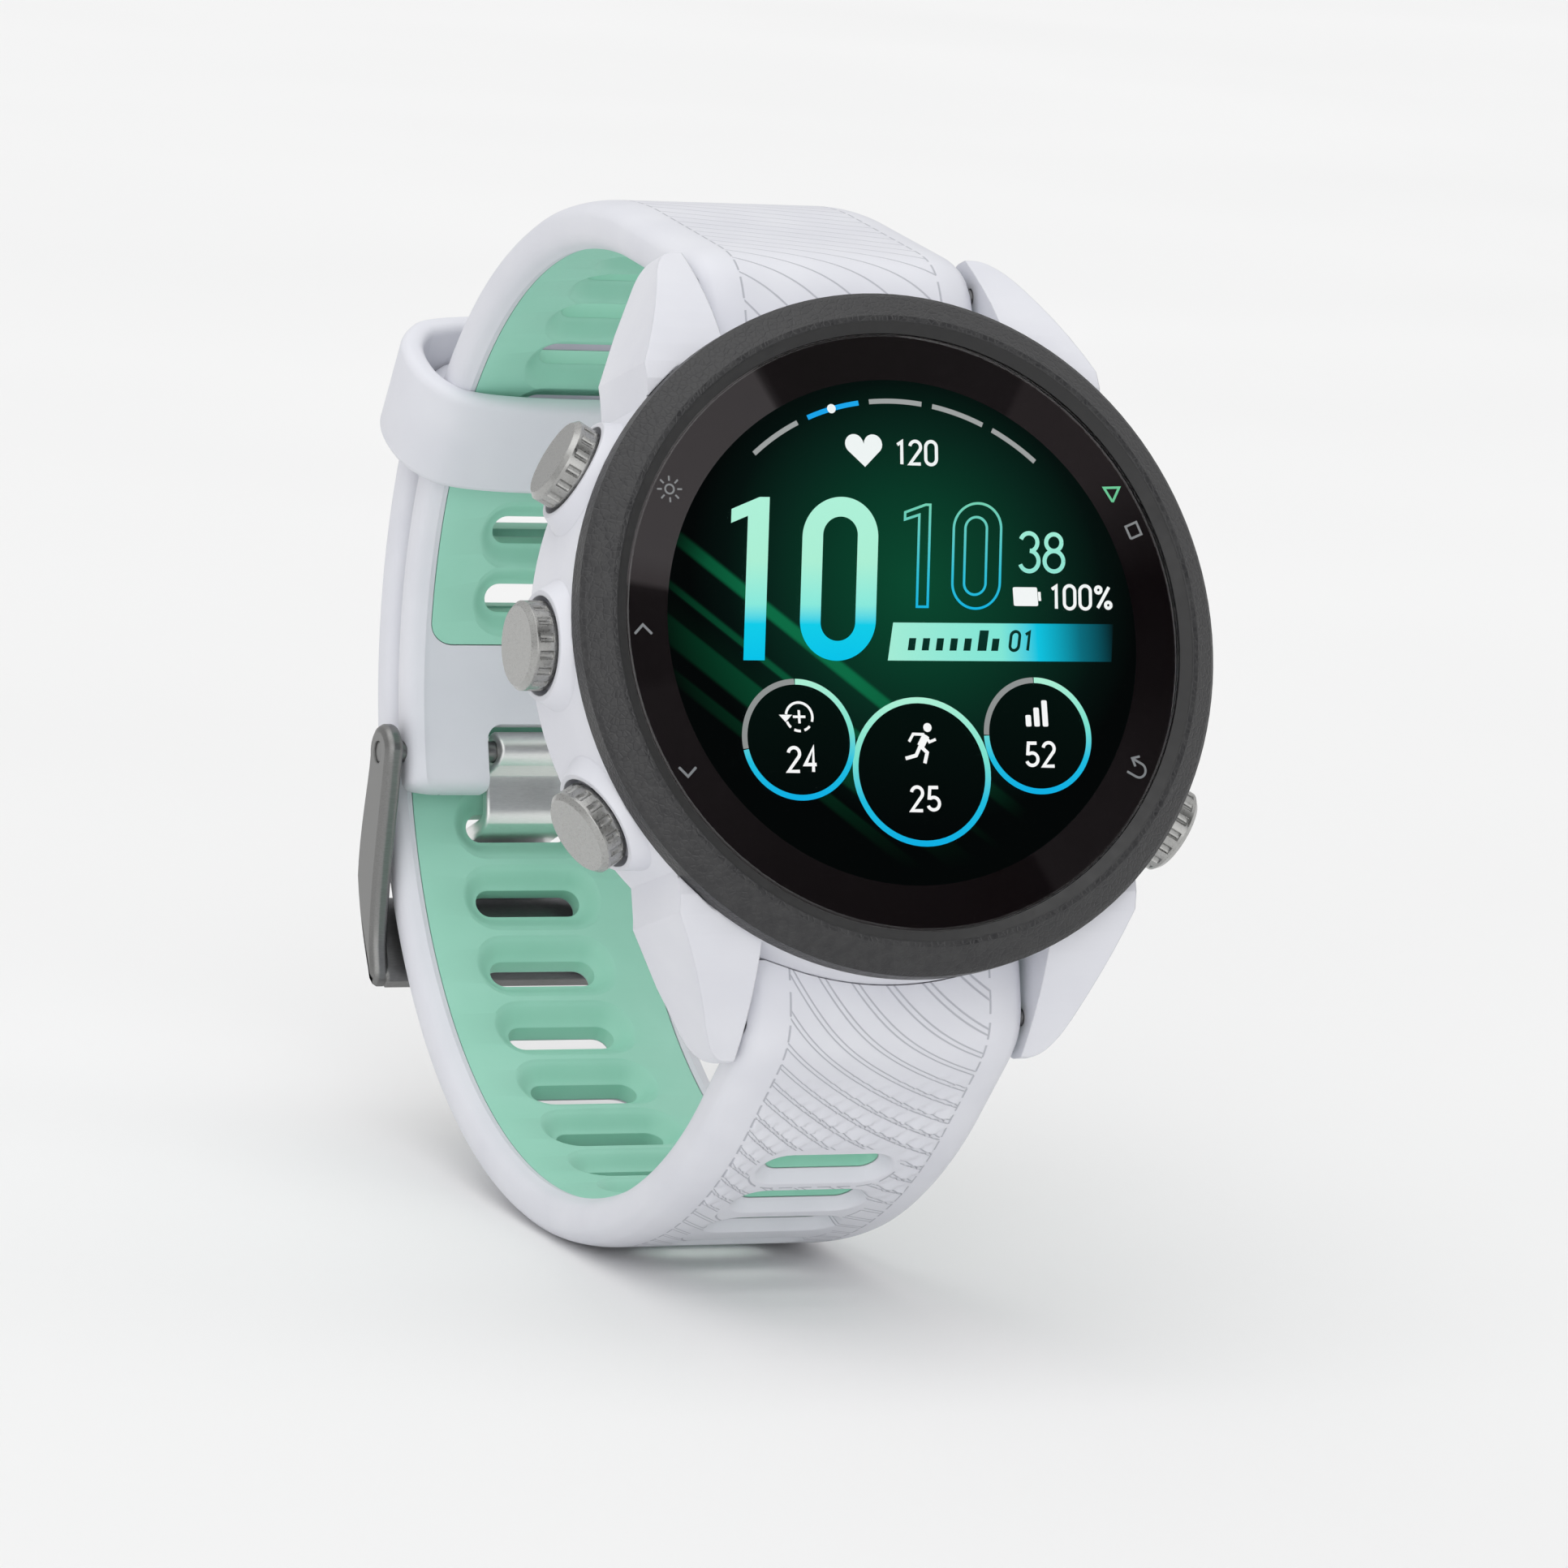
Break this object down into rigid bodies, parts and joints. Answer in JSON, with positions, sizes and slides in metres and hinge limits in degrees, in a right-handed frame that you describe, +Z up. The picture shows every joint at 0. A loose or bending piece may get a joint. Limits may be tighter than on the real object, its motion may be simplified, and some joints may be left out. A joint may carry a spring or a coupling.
{
  "type": "gps running watch",
  "caption": "Round running watch with push buttons, a glass display, a back sensor and a two-tone slotted strap buckled into a loop.",
  "frame": {"origin": "middle of the bounding box's underside; the strap's lowest point stands on Z = 0", "axes": "+X towards the wearer's three o'clock and along the wrist, the display faces -Y and up, leaning back 20 degrees, +Z up"},
  "size_m": [0.0439, 0.0718, 0.066],
  "materials": {
    "case_polymer": "fine satin grain, lavender white",
    "bezel_polymer": "leather-grained dark grey",
    "lens_glass": "polished, chemically strengthened",
    "display": "lit display",
    "adhesive": "matte",
    "copper_flex": "ribbon",
    "antenna_metal": "plain",
    "carrier_polymer": "moulded",
    "board": "solder mask",
    "chips": "moulded",
    "cell_foil": "pouch foil",
    "motor_steel": "plain",
    "membrane": "porous",
    "cover_polymer": "fine satin grain, lavender white",
    "seal_rubber": "matte",
    "screw_steel": "satin",
    "sensor_window": "polished dark window",
    "sensor_parts": "emitters and detectors",
    "contact_gold": "gold plated",
    "switch_polymer": "moulded",
    "button_steel": "satin face, polished fluted edge",
    "spring_steel": "drawn wire",
    "strap_silicone": "soft satin silicone, lavender white",
    "liner_silicone": "soft satin silicone, mint",
    "buckle_steel": "brushed"
  },
  "bodies": {
    "watch": {"mid_case": "case_polymer", "bezel": "bezel_polymer", "lens": "lens_glass", "lens_seal": "adhesive", "display_panel": "display", "display_flex": "copper_flex", "antenna_ring": "antenna_metal", "inner_frame": "carrier_polymer", "main_board": "board", "board_chips": "chips", "battery": "cell_foil", "vibration_motor": "motor_steel", "buzzer": "antenna_metal", "pressure_vent": "membrane", "rear_cover": "cover_polymer", "rear_seal": "seal_rubber", "rear_screws": "screw_steel", "sensor_lens": "sensor_window", "sensor_board": "board", "sensor_leds": "sensor_parts", "charging_contacts": "contact_gold", "tact_switches": "switch_polymer", "button_sleeves": "screw_steel", "upper_strap": "strap_silicone", "upper_liner": "liner_silicone", "lower_strap": "strap_silicone", "lower_liner": "liner_silicone", "buckle_pin": "buckle_steel", "light_spring": "spring_steel", "up_spring": "spring_steel", "down_spring": "spring_steel", "start_spring": "spring_steel", "back_spring": "spring_steel", "upper_bar_tube": "screw_steel", "upper_bar_spring": "spring_steel", "lower_bar_tube": "screw_steel", "lower_bar_spring": "spring_steel"},
    "light_key": {"light_button": "button_steel", "light_clip": "screw_steel"},
    "up_key": {"up_button": "button_steel", "up_clip": "screw_steel"},
    "down_key": {"down_button": "button_steel", "down_clip": "screw_steel"},
    "start_key": {"start_button": "button_steel", "start_clip": "screw_steel"},
    "back_key": {"back_button": "button_steel", "back_clip": "screw_steel"},
    "upper_release": {"upper_bar_pin": "screw_steel"},
    "lower_release": {"lower_bar_pin": "screw_steel"},
    "keeper": {"keeper_loop": "strap_silicone"},
    "buckle": {"buckle_frame": "buckle_steel"},
    "tang": {"buckle_tang": "buckle_steel"}
  },
  "joints": [
    {"name": "light_press", "type": "slide", "parent": "watch", "child": "light_key", "axis": [0.866, -0.171, -0.4698], "range_m": [0, 0.00045], "stiffness_N_per_m": 2500, "springref_m": -0.0004, "deforming": ["light_spring"]},
    {"name": "up_press", "type": "slide", "parent": "watch", "child": "up_key", "axis": [1, 0, 0], "range_m": [0, 0.00045], "stiffness_N_per_m": 2500, "springref_m": -0.0004, "deforming": ["up_spring"]},
    {"name": "down_press", "type": "slide", "parent": "watch", "child": "down_key", "axis": [0.866, 0.171, 0.4698], "range_m": [0, 0.00045], "stiffness_N_per_m": 2500, "springref_m": -0.0004, "deforming": ["down_spring"]},
    {"name": "start_press", "type": "slide", "parent": "watch", "child": "start_key", "axis": [-0.866, -0.171, -0.4698], "range_m": [0, 0.00045], "stiffness_N_per_m": 2500, "springref_m": -0.0004, "deforming": ["start_spring"]},
    {"name": "back_press", "type": "slide", "parent": "watch", "child": "back_key", "axis": [-0.866, 0.171, 0.4698], "range_m": [0, 0.00045], "stiffness_N_per_m": 2500, "springref_m": -0.0004, "deforming": ["back_spring"]},
    {"name": "upper_release_slide", "type": "slide", "parent": "watch", "child": "upper_release", "axis": [-1, 0, 0], "range_m": [0, 0.00145], "stiffness_N_per_m": 800, "springref_m": -0.001, "deforming": ["upper_bar_spring"]},
    {"name": "lower_release_slide", "type": "slide", "parent": "watch", "child": "lower_release", "axis": [-1, 0, 0], "range_m": [0, 0.00145], "stiffness_N_per_m": 800, "springref_m": -0.001, "deforming": ["lower_bar_spring"]},
    {"name": "keeper_slide", "type": "hinge", "parent": "watch", "child": "keeper", "pos_m": [0.00086, 0.00098, 0.0349], "axis": [1, 0, 0], "range_deg": [-13, 9]},
    {"name": "buckle_hinge", "type": "hinge", "parent": "watch", "child": "buckle", "pos_m": [0.00086, 0.02914, 0.02596], "axis": [1, 0, 0], "range_deg": [0, 95]},
    {"name": "tang_hinge", "type": "hinge", "parent": "watch", "child": "tang", "pos_m": [0.00086, 0.02914, 0.02596], "axis": [1, 0, 0], "range_deg": [-3, 3]}
  ]
}
